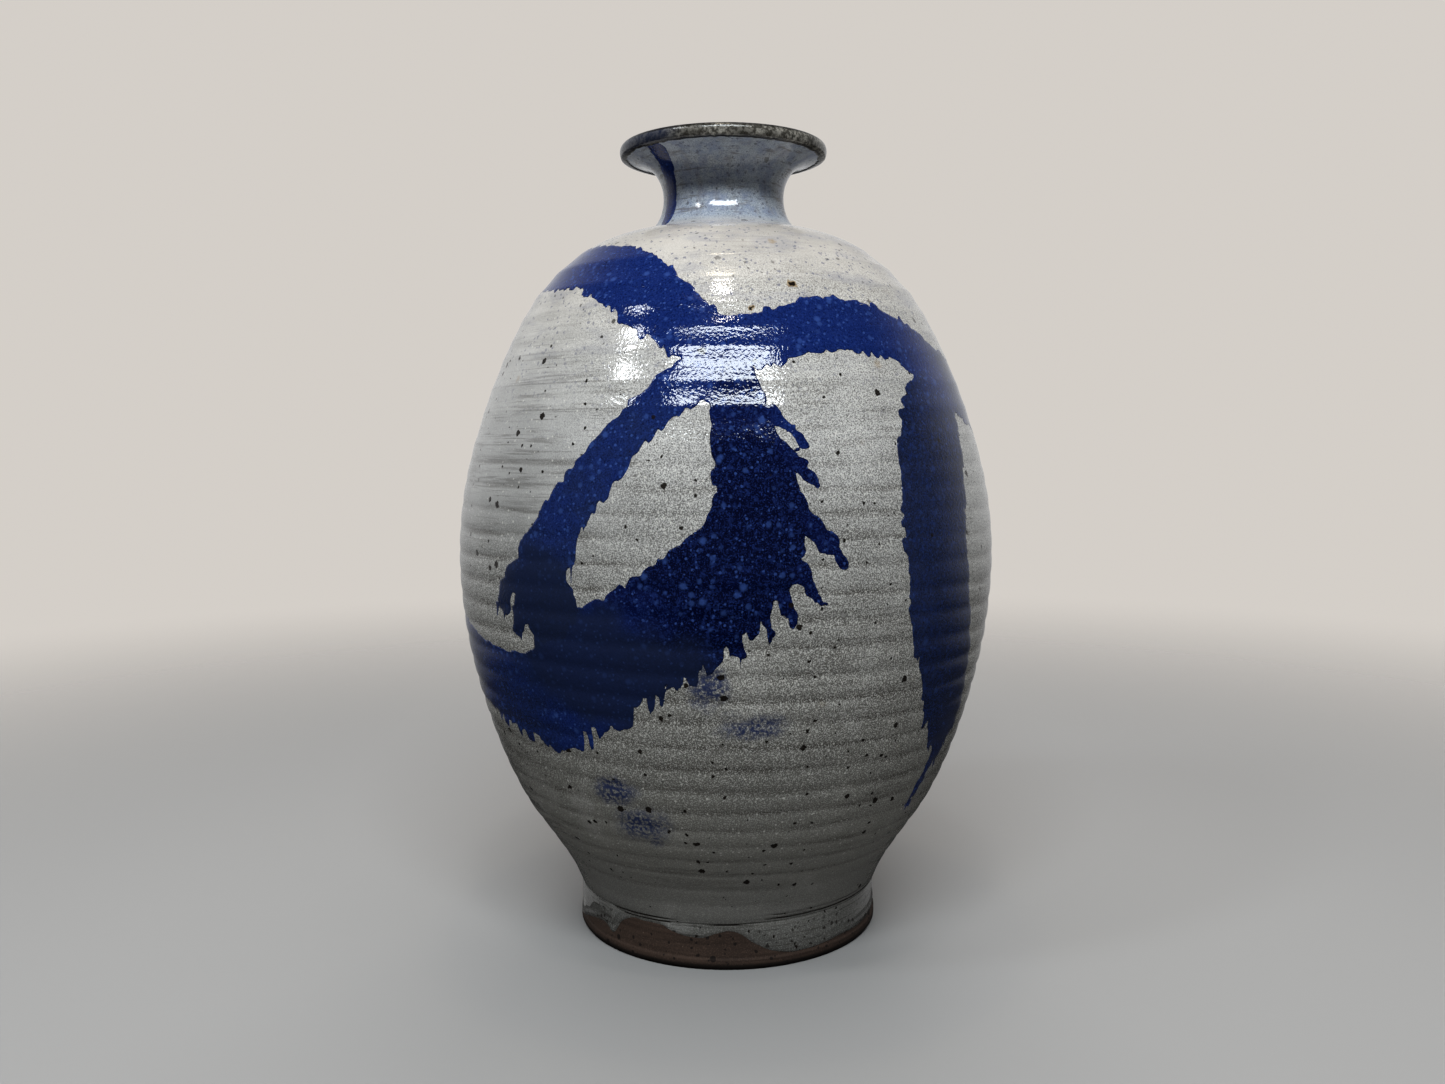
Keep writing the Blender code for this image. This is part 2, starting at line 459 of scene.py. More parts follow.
# How far the band sinks into the core at its edge, stays under the outline, and reaches inside the core
BAND_SINK = 0.00004
BAND_INSET = 0.00002
BAND_BACK = 0.0004
MOUTH_INSIDE_TOP = 0.3733


def lip_arc(radius):
    """The arc length on the lip's underside at a radius."""
    rising = slice(0, 60)  # the part of the outline before the lip turns in
    return float(np.interp(radius, LIP.curve[rising, 0], LIP.arc[rising]))


def mouth_wall(finish):
    """The flared mouth: its underside, the core of its lip and its inside."""
    turn = turns(RIM_COLUMNS)
    start = float(POT.arc_at(COLLAR_TOP))
    rows, grooves = outer_rows(turn, np.linspace(start, POT.length, 14))
    seams = {0: seam_normals(turn, start)}
    for arc in np.linspace(lip_arc(CORE_START), float(LIP.length * BAND_END), 26)[1:]:
        rows.append(LIP.points(turn, arc, -RIM_INSET))
    rows += inner_rows(turn, start, float(POT.arc_at(MOUTH_INSIDE_TOP)), 10)
    wall = glazed_wall("mouth_wall", rows, grooves, seams, finish)
    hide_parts("mouth_rim")


def lip_band(finish):
    """The dark iron band over the lip, a skin with a wavy lower border."""
    turn = turns(RIM_COLUMNS * 2)
    low = lip_arc(BAND_START)
    for size, cells, seed in ((0.0008, 46, 41), (0.0009, 5, 43), (0.0008, 160, 45)):
        low = low + size * (round_noise(turn, cells, seed) - 0.5)
    high = LIP.length * BAND_END + 0.0012 * (round_noise(turn, 30, 47) - 0.5)
    rows, border = [], []
    for share in np.linspace(0, 1, 44):
        arc = low + (high - low) * share
        from_edge = np.minimum(arc - low, high - arc)
        rounding = np.sqrt(1 - (1 - np.clip(from_edge / BAND_ROUNDING, 0, 1)) ** 2)
        dimple = 0.00005 * cell_noise(turn, arc / 0.0015, 160, 49)
        lift = -RIM_INSET - BAND_SINK + (RIM_INSET - BAND_INSET - dimple) * rounding
        rows.append(LIP.points(turn, arc, lift))
        border.append(1 - step_up(arc - low, 0.0017, 0.0025))
    for share in np.linspace(1, 0, 8):
        arc = low + BAND_BACK + (high - low - 2 * BAND_BACK) * share
        rows.append(LIP.points(turn, arc, -RIM_INSET - BAND_BACK))
        border.append(0 * turn)
    faces = ring_faces(len(rows), len(turn))
    mesh = fill_mesh("lip_band", np.concatenate(rows), faces, np.concatenate(border), "border")
    band = add_object("lip_band", mesh, [finish])


# The glazed floor starts above this height and ends at this radius
LINER_BOTTOM = 0.0145
LINER_RADIUS = 0.0658
CLAY_TOP = 0.0225
# The clay drops back under the glaze between these heights
UNDER_GLAZE = 0.001
UNDER_GLAZE_START = (0.0186, 0.0202)


def level_ring(turn, radius, height):
    """A ring of points at a radius and a height."""
    angle = math.tau * turn
    return np.column_stack([radius * np.sin(angle), -radius * np.cos(angle), height + 0 * turn])


def foot_clay(clay, liner):
    """The bare foot: its outside under the glaze's edge, its flat ring, its recess and the floor above."""
    turn = turns(WALL_COLUMNS)
    columns = len(turn)
    rows = []
    for arc in np.linspace(POT.arc_at(CLAY_TOP), 0.0, 56):
        height = float(POT.height_at(arc))
        under_glaze = UNDER_GLAZE * step_up(height, *UNDER_GLAZE_START)
        turned = 0.00006 * cell_noise(turn, arc / 0.0009, 6, 61)
        grit = 0.00007 * cell_noise(turn, arc / 0.0016, 300, 63) ** 3
        rows.append(POT.points(turn, arc, -under_glaze - turned - grit))
    for radius, height in RECESS:
        wobble = cell_noise(turn, radius / 0.004, 40, 65) - 0.5
        rows.append(level_ring(turn, radius, height + 0.00012 * wobble * (height > 0)))
    below = len(rows)
    rows += [level_ring(turn, radius, height) for radius, height in FLOOR_INSIDE]
    faces = []
    for quad in ring_faces(len(rows), columns):
        row = min(quad) // columns
        if {row, max(quad) // columns} == {below - 1, below}:
            continue
        faces.append(quad[::-1])
    faces.append(tuple((below - 1) * columns + i for i in range(columns)))
    faces.append(tuple(below * columns + i for i in reversed(range(columns))))
    mesh = fill_mesh("foot_clay", np.concatenate(rows), faces)
    foot = add_object("foot_clay", mesh, [clay, liner])
    for face in mesh.polygons:
        if face.center.z > LINER_BOTTOM and math.hypot(face.center.x, face.center.y) < LINER_RADIUS:
            face.material_index = 1
    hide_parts("foot_ring", "base_disc")


# ==== Brushwork

PAINT_COLUMNS = 1120
PAINT_ROW = 0.0007
# The film of paint swells to its full height over a width from its edge, and reaches down into the glaze
FILM = 0.00006
FILM_EDGE = 0.0024
FILM_RIM = 0.00003
FILM_SINK = 0.00012
# The nearest that the paint's edge comes to a grid point, as a share of a cell
EDGE_MARGIN = 0.04

# Each stroke is a list of (degrees, height in mm, half width in mm, load of paint from 0 to 1)
SHOULDER_SWEEP = [
    (-150, 300, 9, 0.4), (-125, 312, 13, 0.55), (-100, 319, 15, 0.6), (-78, 320, 15, 0.6),
    (-58, 318, 15.5, 0.65), (-40, 316, 15, 0.68), (-27, 309, 16, 0.66), (-15, 295, 15, 0.62),
    (-3, 280, 13.5, 0.62), (9, 281, 12.5, 0.62), (20, 286, 13, 0.62), (31, 287, 13.5, 0.6),
    (42, 284, 13, 0.58), (51, 277, 14, 0.52), (61, 267, 16, 0.44), (74, 260, 17, 0.4), (88, 252, 15, 0.4),
    (97, 245, 12, 0.4), (103, 239, 8, 0.4),
]
RIGHT_FALL = [
    (56, 272, 13, 0.5), (53, 256, 18, 0.4), (48.5, 240, 23, 0.28), (45, 216, 23.5, 0.18),
    (44.8, 192, 22.5, 0.15), (46.5, 168, 22.5, 0.16), (50, 145, 20.5, 0.18), (54, 124, 18, 0.2),
    (56.5, 112, 13, 0.22), (56.5, 102, 6.5, 0.3), (54.5, 92, 3.6, 0.42), (52.5, 82, 2.4, 0.45),
    (51.5, 74, 1.6, 0.45),
]
LEFT_FALL = [
    (-2, 270, 12, 0.6), (-12, 256, 10, 0.54), (-19.5, 241, 9.5, 0.46), (-27, 221, 10.5, 0.43),
    (-33, 202, 12.5, 0.42), (-36.5, 186, 15.5, 0.38), (-36, 177, 15.5, 0.32), (-33, 171, 13, 0.24),
]
DARK_SWEEP = [
    (1, 268, 11, 0.72), (3, 250, 12, 0.88), (4.5, 234, 15, 0.97), (6, 216, 18, 1.0), (5, 199, 21, 1.0),
    (-2, 182, 22, 1.0), (-12, 165, 22, 0.92), (-24, 148, 22.5, 0.62),
]
LOW_SWEEP = [
    (-24, 148, 22.5, 0.62), (-38, 132, 20, 0.46), (-47, 131, 18.5, 0.42), (-56, 133, 18, 0.43),
    (-69, 139, 17.5, 0.42), (-88, 149, 17, 0.38), (-108, 160, 13, 0.36), (-126, 174, 11, 0.36),
    (-136, 182, 8, 0.36),
]
# Hairs of the brush that left the dark sweep's right side and the left fall's foot, each a short taper
BRISTLES = [
    [(9, 250, 3.5, 0.8), (12.5, 244, 2.6, 0.8), (15, 238, 1.4, 0.8)],
    [(10, 236, 5, 0.9), (14, 228, 3.6, 0.9), (17, 221, 1.8, 0.9)],
    [(11, 214, 7, 0.9), (15, 205, 5.5, 0.9), (19, 197, 3.6, 0.9), (21.5, 190, 1.8, 0.9)],
    [(10, 194, 6, 0.9), (14, 184, 3.4, 0.9), (17, 174, 2.2, 0.9)],
    [(7, 184, 5, 0.9), (10.5, 176, 3.0, 0.9), (12, 169, 1.6, 0.9)],
    [(3, 176, 5, 0.95), (6.5, 169, 2.8, 0.95), (8.3, 162, 1.8, 0.95)],
    [(-1, 166, 4, 0.9), (2.2, 160, 2.4, 0.9), (3.4, 154, 1.4, 0.9)],
    [(-42, 184, 6.5, 0.38), (-46, 177, 5.0, 0.38), (-48.5, 171, 3.2, 0.38)],
    [(-41, 174, 5.5, 0.36), (-43, 167, 4.2, 0.36), (-43.8, 160, 2.8, 0.36)],
    [(-36, 170, 5.5, 0.34), (-37.2, 163, 3.8, 0.34), (-37.5, 157, 2.4, 0.34)],
]
# The unseen back carries the same kind of strokes, chosen freely
BACK_FALL = [
    (-167, 287, 8, 0.45), (-170, 279, 12, 0.5), (-175, 262, 15, 0.5), (-178, 240, 15, 0.45),
    (-180, 215, 14, 0.38), (-177, 190, 13, 0.32), (-172, 168, 11, 0.3), (-168, 150, 6, 0.3),
]
BACK_SWEEP = [
    (119, 256, 9, 0.55), (123, 248, 13, 0.65), (130, 236, 16, 0.8), (139, 219, 17, 0.9),
    (149, 199, 17, 0.85), (157, 176, 15, 0.7), (160, 152, 12, 0.5), (158, 132, 7, 0.4),
]
NECK_STREAK = [
    (-45, 373.1, 4.6, 0.5), (-51, 370.6, 4.7, 0.52), (-55.5, 366, 5.0, 0.55), (-58, 360, 5.1, 0.58),
    (-58.5, 354, 4.9, 0.58), (-56, 347, 4.7, 0.58), (-53, 342.5, 3.4, 0.5), (-51, 340, 1.8, 0.45),
]
# How far the paint ran down at its lower edges, as (degrees, length in mm)
RUNS = [(-180, 6), (-110, 6), (-62, 6), (-50, 9), (-32, 13), (-15, 13), (-4, 10), (8, 7), (14, 2), (30, 2),
        (40, 8), (60, 10), (75, 5), (120, 7), (180, 6)]
# Above these heights the paint was too thin to run far
RUN_FADE = (0.185, 0.215)
# How fast a run narrows as it goes down
RUN_TAPER = 0.1
# No stroke reaches further than this from its path
STROKE_REACH = 0.045
# The lobes of the ragged edge, as (size, pitch up the pot, cells round it, seed)
SCALLOPS = ((0.0034, 0.0052, 150, 81), (0.0008, 0.0026, 300, 83))
# Two strokes blend over this width either side of where they meet, and a full overlap is this deep
BLEND = 0.004
FULL_OVERLAP = 0.006


def stroke_depth(stroke, turn, arc):
    """How far inside a stroke each place is, and the load of paint at the nearest point of its path."""
    path = smooth_curve(stroke, 24)
    path_turn = path[:, 0] / 360
    path_arc = POT.arc_at(path[:, 1] * MM)
    centres = POT.points(path_turn, path_arc, 0.0)
    depth = np.full(turn.shape, -1.0)
    load = np.zeros(turn.shape)
    for row in range(turn.shape[0]):
        if np.abs(arc[row, 0] - path_arc).min() > STROKE_REACH:
            continue
        here = POT.points(turn[row], arc[row], 0.0)
        gap = np.linalg.norm(here[:, None, :] - centres[None, :, :], axis=2)
        inside = path[None, :, 2] * MM - gap
        best = inside.argmax(axis=1)
        depth[row] = inside[np.arange(len(best)), best]
        load[row] = path[best, 3]
    return depth, load


def run_down(depth, load, turn, arc):
    """Lets the paint run down in narrow fingers from its lower edges."""
    reach = np.interp(signed_degrees(turn[0]), *zip(*RUNS)) * MM
    fingers = step_up(round_noise(turn[0], 330, 71), 0.34, 0.66) ** 0.5
    fingers = fingers * (0.35 + 0.8 * round_noise(turn[0], 75, 73))
    share = 1.0 - 0.75 * step_up(POT.height_at(arc), *RUN_FADE)
    length = (reach * fingers)[None, :] * share
    row_height = float(arc[1, 0] - arc[0, 0])
    result, result_load = depth.copy(), load.copy()
    for shift in range(1, 1 + int(length.max() / row_height)):
        fallen = depth[shift:] - RUN_TAPER * shift * row_height
        fallen = np.where(length[:-shift] > shift * row_height, fallen, -1.0)
        better = fallen > result[:-shift]
        result[:-shift] = np.where(better, fallen, result[:-shift])
        result_load[:-shift] = np.where(better, load[shift:], result_load[:-shift])
    return result, result_load


def lobes(turn, arc, pitch, cells, seed):
    """Rounded lobes with a pitch up the pot, for the ragged edges of the paint."""
    return np.hypot(2 * cell_noise(turn, arc / pitch, cells, seed) - 1, 0.15) - 0.48


def painted_field(strokes, low, high):
    """The depth and load of paint on a grid round the pot, from pairs of a stroke and its raggedness."""
    arcs = np.arange(POT.arc_at(low), POT.arc_at(high), PAINT_ROW)
    turn, arc = np.meshgrid(turns(PAINT_COLUMNS), arcs)
    scallops = sum(size * lobes(turn, arc, *kind) for size, *kind in SCALLOPS)
    depth = np.full(turn.shape, -1.0)
    load = np.zeros(turn.shape)
    for stroke, raggedness in strokes:
        one, paint = stroke_depth(stroke, turn, arc)
        one = one + raggedness * scallops
        overlap = np.clip(np.minimum(one, depth) / FULL_OVERLAP, 0.0, 1.0)
        blend = step_up(one - depth, -BLEND, BLEND)
        load = load * (1 - blend) + paint * blend + 0.06 * overlap
        depth = np.maximum(one, depth)
    depth, load = run_down(depth, load, turn, arc)
    return turn, arc, depth, np.clip(load, 0.0, 1.0)


def merge_cells(inside, full):
    """Merges the cells inside the paint into blocks of two by two.

    Gives the cells left single, the blocks, and the points that are still needed.
    """
    blocks = full[0:len(full) // 2 * 2:2] & full[1::2]
    blocks = blocks[:, 0::2] & blocks[:, 1::2]
    tall = 2 * len(blocks)
    single, needed = full.copy(), inside.copy()
    single[:tall] &= ~np.repeat(np.repeat(blocks, 2, axis=0), 2, axis=1)
    needed[1:tall:2, 1::2] &= ~blocks
    needed[1:tall:2, 0::2] &= ~(blocks & np.roll(blocks, 1, axis=1))
    needed[2:tall:2, 1::2] &= ~(blocks[1:] & blocks[:-1])
    return single, blocks, needed


def cell_ring(row, column, east):
    """The four grid points round a cell."""
    return [(row, column), (row, east), (row + 1, east), (row + 1, column)]


def film_mesh(name, turn, arc, depth, load):
    """Meshes the painted area as a thin closed film: marching squares above, and the same below."""
    columns = depth.shape[1]
    inside = depth > 0
    inside[0] = inside[-1] = False
    right = np.roll(np.arange(columns), -1)
    corners = [inside[:-1], inside[:-1][:, right], inside[1:][:, right], inside[1:]]
    total = sum(c.astype(int) for c in corners)
    single, blocks, needed = merge_cells(inside, total == 4)
    count = int(needed.sum())
    number = -np.ones(depth.shape, dtype=int)
    number[needed] = np.arange(count)
    edge_points, edge_numbers = [], {}

    def crossing(a, b):
        """The point where the paint's edge crosses between an inside and an outside grid point."""
        key = (a, b) if a < b else (b, a)
        if key not in edge_numbers:
            share = min(max(depth[a] / (depth[a] - depth[b]), EDGE_MARGIN), 1 - EDGE_MARGIN)
            turn_gap = ((b[1] - a[1] + columns // 2) % columns - columns // 2) / columns
            edge_points.append((turn[a] + share * turn_gap, arc[a] + share * (arc[b] - arc[a]), load[a]))
            edge_numbers[key] = 2 * count + len(edge_points) - 1
        return edge_numbers[key]

    faces = []
    for row, column in zip(*np.nonzero(single)):
        faces.append(tuple(number[place] for place in cell_ring(row, column, right[column])))
    for row, column in zip(*(2 * np.array(np.nonzero(blocks)))):
        middle, east = column + 1, (column + 2) % columns
        ring = [(row, column), (row, middle), (row, east), (row + 1, east), (row + 2, east),
                (row + 2, middle), (row + 2, column), (row + 1, column)]
        faces.append(tuple(number[place] for place in ring if needed[place]))
    for row, column in zip(*np.nonzero((total > 0) & (total < 4))):
        ring = cell_ring(row, column, right[column])
        face = []
        for here, following in zip(ring, ring[1:] + ring[:1]):
            if inside[here]:
                face.append(number[here])
            if inside[here] != inside[following]:
                face.append(crossing(here, following) if inside[here] else crossing(following, here))
        faces.append(tuple(face))
    under = [tuple(i + count if i < count else i for i in reversed(face)) for face in faces]

    grid_turn, grid_arc, grid_load = turn[needed], arc[needed], load[needed]
    skin = glaze_lift(grid_turn, grid_arc)
    swell = step_up(depth[needed], 0.0, FILM_EDGE) * FILM
    swell = swell * (0.8 + 0.2 * cell_noise(grid_turn, grid_arc / 0.004, 180, 85)) + FILM_RIM
    top = POT.points(grid_turn, grid_arc, skin + swell)
    bottom = POT.points(grid_turn, grid_arc, skin - FILM_SINK)
    edge_turn, edge_arc, edge_load = np.array(edge_points).T
    rim = glazed_points(edge_turn, edge_arc)
    values = np.concatenate([grid_load, grid_load, edge_load])
    points = np.concatenate([top, bottom, rim])
    return fill_mesh(name, points, [tuple(map(int, f)) for f in faces + under], values, "load")


def brushwork(name, strokes, low, high, finish):
    """One painted piece on the glaze."""
    turn, arc, depth, load = painted_field(strokes, low, high)
    piece = add_object(name, film_mesh(name, turn, arc, depth, load), [finish])


# ==== Materials


class Nodes:
    """The node tree of a material or a world, with short calls for the nodes used here."""

    def __init__(self, owner, shader="Principled BSDF"):
        owner.use_nodes = True
        self.owner = owner
        self.tree = owner.node_tree
        self.shader = self.tree.nodes[shader]
        self.coordinates = self.add("TexCoord").outputs
        self.where = self.coordinates["Object"]

    def add(self, kind, inputs=None, **settings):
        """Adds a node, with its settings and its inputs from values or sockets."""
        made = self.tree.nodes.new("ShaderNode" + kind)
        for key, value in settings.items():
            setattr(made, key, value)
        for key, value in (inputs or {}).items():
            self.feed(made.inputs[key], value)
        return made

    def feed(self, socket, value):
        """Links a socket, or sets its value."""
        if isinstance(value, bpy.types.NodeSocket):
            self.tree.links.new(value, socket)
        else:
            socket.default_value = value

    def math(self, operation, *values):
        """Runs numbers through one operation, from the first to the last."""
        result = values[0]
        for value in values[1:]:
            result = self.add("Math", {0: result, 1: value}, operation=operation).outputs[0]
        return result

    def product(self, *values):
        """The product of numbers."""
        return self.math("MULTIPLY", *values)

    def highest(self, *values):
        """The highest of some numbers."""
        return self.math("MAXIMUM", *values)

    def vector(self, operation, inputs, output="Vector"):
        """An operation on vectors."""
        return self.add("VectorMath", inputs, operation=operation).outputs[output]

    def axes(self, vector=None):
        """The X, Y and Z of a place."""
        return self.add("SeparateXYZ", {"Vector": vector or self.where}).outputs

    def attribute(self, name):
        """A number stored on the mesh."""
        return self.add("Attribute", attribute_name=name).outputs["Fac"]

    def noise(self, scale, detail=2.0, roughness=0.5, across=1.0, up=1.0):
        """Noise of a scale in cells per metre, times a factor across the pot and another up it."""
        place = self.where
        if (across, up) != (1.0, 1.0):
            place = self.add("Mapping", {"Vector": place, "Scale": (across, across, up)}).outputs[0]
        inputs = {"Vector": place, "Scale": scale, "Detail": detail, "Roughness": roughness}
        return self.add("TexNoise", inputs).outputs["Fac"]

    def ramp(self, value, low, high, start=0.0, end=1.0, kind="SMOOTHSTEP"):
        """Maps a value smoothly from one range to another."""
        inputs = {"Value": value, "From Min": low, "From Max": high, "To Min": start, "To Max": end}
        return self.add("MapRange", inputs, interpolation_type=kind).outputs[0]

    def line(self, value, low, high, start=0.0, end=1.0):
        """Maps a value in a straight line from one range to another."""
        return self.ramp(value, low, high, start, end, "LINEAR")

    def stops(self, value, low, high, colors):
        """A colour ramp over a value's range, from stops of (value, colour)."""
        made = self.add("ValToRGB", {"Fac": self.line(value, low, high)})
        elements = made.color_ramp.elements
        while len(elements) < len(colors):
            elements.new(1.0)
        for element, (at, color) in zip(elements, colors):
            element.position = (at - low) / (high - low)
            element.color = (*color, 1.0)
        return made.outputs["Color"]

    def mix(self, factor, first, second):
        """Mixes two colours, each a socket or (red, green, blue)."""
        made = self.add("Mix", data_type="RGBA")
        for key, value in ((0, factor), (6, first), (7, second)):
            self.feed(made.inputs[key], (*value, 1.0) if isinstance(value, tuple) else value)
        return made.outputs[2]

    def tint(self, base, tint, value, low, high, share, within=1.0):
        """Mixes a tint in as a value goes from low to high, up to a share and within an area."""
        return self.mix(self.product(self.ramp(value, low, high, 0.0, share), within), base, tint)

    def ragged(self, amount, scale):
        """Coordinates pushed about by noise, so that round cells get uneven edges."""
        inputs = {"Vector": self.where, "Scale": scale, "Detail": 1.0}
        push = self.add("TexNoise", inputs).outputs["Color"]
        push = self.vector("SUBTRACT", {0: push, 1: (0.5, 0.5, 0.5)})
        return self.vector("ADD", {0: self.where, 1: self.vector("SCALE", {0: push, "Scale": amount})})

    def dots(self, scale, radius, softness, vector=None):
        """Scattered dots, 1 inside and 0 outside. Radius and softness are in metres."""
        cell = self.add("TexVoronoi", {"Vector": vector or self.where, "Scale": scale}).outputs
        pick = self.add("SeparateColor", {"Color": cell["Color"]}).outputs[0]
        size = self.ramp(pick, 0.0, 1.0, SMALLEST_DOT * radius * scale, radius * scale)
        return self.ramp(self.math("SUBTRACT", size, cell["Distance"]), 0.0, softness * scale)

    def blot(self, degrees, level, size, vector):
        """A soft patch round a place: 1 in the middle and 0 outside."""
        centre = tuple(POT.points(degrees / 360, POT.arc_at(level), 0.0))
        offset = self.vector("SUBTRACT", {0: vector, 1: centre})
        scaled = self.vector("MULTIPLY", {0: offset, 1: tuple(1 / side for side in size)})
        return self.ramp(self.vector("LENGTH", {0: scaled}, "Value"), 1.0, BLOT_CORE)

    def blots(self, places, vector):
        """Soft patches at places given as (degrees, height, half size along each axis)."""
        return self.highest(0.0, *[self.blot(*place, vector) for place in places])

    def finish(self, color, roughness, height, distance, strength=1.0):
        """Feeds the shader. The bump is a height from 0 to 1 times a distance in metres."""
        bump = self.add("Bump", {"Height": height, "Strength": strength, "Distance": distance})
        inputs = {"Base Color": color, "Roughness": roughness, "Normal": bump.outputs[0]}
        for key, value in inputs.items():
            self.feed(self.shader.inputs[key], value)
        return self.owner


# The smallest dot's radius as a share of the largest's, and the full middle of a soft patch
SMALLEST_DOT = 0.35
BLOT_CORE = 0.3
# The stone glaze's colour up the pot, as (height, colour). It is partly its own colour, thinner and
# greener-grey towards the foot, and partly painted light: painted shade darkens it towards the foot and the
# lower body, the neck's blue-grey is partly a painted cool shade, and its paler top is painted light
# against the lip's shadow.
STONE_TONES_AND_SHADE = [
    (0.006, (0.072, 0.07, 0.065)), (0.018, (0.102, 0.1, 0.093)), (0.027, (0.204, 0.2, 0.186)),
    (0.06, (0.222, 0.218, 0.198)), (0.095, (0.18, 0.177, 0.161)), (0.15, (0.256, 0.253, 0.238)),
    (0.2, (0.345, 0.345, 0.337)), (0.24, (0.44, 0.44, 0.435)), (0.27, (0.505, 0.5, 0.485)),
    (0.312, (0.52, 0.498, 0.466)), (0.3375, (0.49, 0.462, 0.428)), (0.343, (0.375, 0.43, 0.515)),
    (0.364, (0.455, 0.505, 0.575)),
]
# Pigment that fell beside the strokes, as (degrees, height, half size along each axis)
SMUDGES = [(5, 0.1235, (0.019, 0.02, 0.0085)), (-25, 0.092, (0.013, 0.02, 0.009)),
           (-20, 0.076, (0.017, 0.02, 0.012)), (-3, 0.141, (0.011, 0.02, 0.013)),
           (163, 0.1, (0.016, 0.02, 0.01))]
# Single large iron spots, in the same form
IRON_SPOTS = [(17.7, 0.304, (0.0036, 0.003, 0.0026)), (-4.8, 0.275, (0.0026, 0.0026, 0.0026)),
              (6.5, 0.293, (0.0024, 0.002, 0.0016)), (-150.0, 0.26, (0.003, 0.003, 0.0024))]
IRON_SPECK = (0.012, 0.009, 0.007)
PIGMENT = (0.026, 0.038, 0.1)
# Where the cobalt is washed out to slate, in the same form
WASHES = [(-19, 0.143, (0.054, 0.06, 0.034)), (-31, 0.153, (0.042, 0.055, 0.034)),
          (-38, 0.172, (0.03, 0.05, 0.034))]
SLATE = (0.0135, 0.0215, 0.054)
# The cobalt's colour from a thin wash to thick paint, as (load, colour)
COBALT_TONES = [
    (0.08, (0.023, 0.032, 0.076)), (0.28, (0.012, 0.0178, 0.045)), (0.41, (0.0135, 0.0255, 0.09)),
    (0.56, (0.0085, 0.023, 0.125)), (0.68, (0.0075, 0.022, 0.125)), (0.86, (0.0028, 0.007, 0.05)),
    (0.98, (0.0013, 0.0031, 0.024)),
]


def dark_streaks(n, height, groove):
    """How dark the glaze is where it gathers: in the throwing grooves, in streaks and in thin lines. The
    groove values also darken each shoulder ridge as painted shade.
    """
    streak = n.noise(26, 4, 0.62, up=13)
    fine_streak = n.noise(70, 3, 0.6, 0.3, 14)
    patchy = n.noise(16, 2, 0.5, up=2.5)
    in_groove = n.product(n.ramp(groove, 0.4, 0.95), n.ramp(streak, 0.36, 0.58, 0.1, 1.0),
                          n.ramp(patchy, 0.36, 0.56, 0.35, 1.0))
    streaks = n.product(n.ramp(streak, 0.5, 0.66), n.ramp(patchy, 0.42, 0.62, 0.0, 0.8))
    thin_lines = n.product(n.ramp(fine_streak, 0.55, 0.66), n.ramp(patchy, 0.4, 0.6, 0.15, 0.8),
                           n.ramp(height, 0.06, 0.16, 0.15, 1.0))
    return n.product(n.highest(streaks, in_groove, thin_lines), n.ramp(height, 0.262, 0.3, 1.0, 0.35),
                     n.ramp(height, 0.035, 0.08, 0.3, 1.0), n.ramp(height, 0.16, 0.24, 0.85, 0.62))


def sugary_grain(n, base, grain, place):
    """Pale and dark grains and pale crystals, weaker at the upper left, on the shoulder and at the foot."""
    height = place["Z"]
    left = n.product(n.ramp(place["X"], -0.02, -0.085), n.ramp(height, 0.17, 0.215))
    smooth = n.highest(left, n.ramp(height, 0.292, 0.325))
    smooth = n.product(smooth, n.ramp(height, 0.338, 0.344, 1.0, 0.55), 0.85)
    sugar = n.math("SUBTRACT", 1.0, smooth)
    sugar = n.product(sugar, n.ramp(height, 0.045, 0.14, 0.2, 1.0))
    pale = n.product(n.ramp(grain, 0.51, 0.63, 0.0, 0.95), sugar)
    deep = n.product(n.ramp(grain, 0.49, 0.37, 0.0, 0.95), sugar)
    base = n.mix(pale, base, n.mix(0.6, base, (0.8, 0.8, 0.76)))
    base = n.mix(deep, base, n.mix(0.7, base, (0.075, 0.07, 0.062)))
    crystals = n.product(n.dots(380, 0.0006, 0.0002), n.ramp(height, 0.28, 0.33, 0.65, 0.15),
                         n.ramp(height, 0.035, 0.09, 0.15, 1.0))
    return n.mix(crystals, base, (0.66, 0.65, 0.61))


def neck_marks(n, base, height):
    """Blue mottling, grey runs and smoky bands on the neck."""
    on_neck = n.ramp(height, 0.341, 0.345)
    base = n.tint(base, (0.225, 0.27, 0.4), n.noise(150, 3, 0.6), 0.42, 0.64, 0.55, on_neck)
    base = n.tint(base, (0.22, 0.215, 0.225), n.noise(210, up=0.25), 0.5, 0.7, 0.35, on_neck)
    return n.tint(base, (0.14, 0.122, 0.112), n.noise(60, 4, 0.65, up=11), 0.53, 0.64, 0.62, on_neck)


def shoulder_marks(n, base, height, uneven):
    """Grey smears, blue-grey flecks and a little ochre on the shoulder."""
    on_shoulder = n.product(n.ramp(height, 0.25, 0.29), n.ramp(height, 0.34, 0.337))
    base = n.tint(base, (0.3, 0.3, 0.325), n.noise(34, 4, 0.6, up=4), 0.48, 0.66, 0.5, on_shoulder)
    flecks = n.highest(n.dots(150, 0.0011, 0.0007, uneven), n.dots(420, 0.0008, 0.0003, uneven),
                       n.dots(260, 0.001, 0.0004, uneven))
    base = n.mix(n.product(flecks, n.ramp(height, 0.22, 0.31, 0.05, 0.78)), base, (0.175, 0.18, 0.225))
    ochre = n.product(n.dots(46, 0.003, 0.0022, uneven), n.ramp(height, 0.24, 0.3, 0.15, 0.65))
    return n.mix(ochre, base, (0.28, 0.19, 0.08))


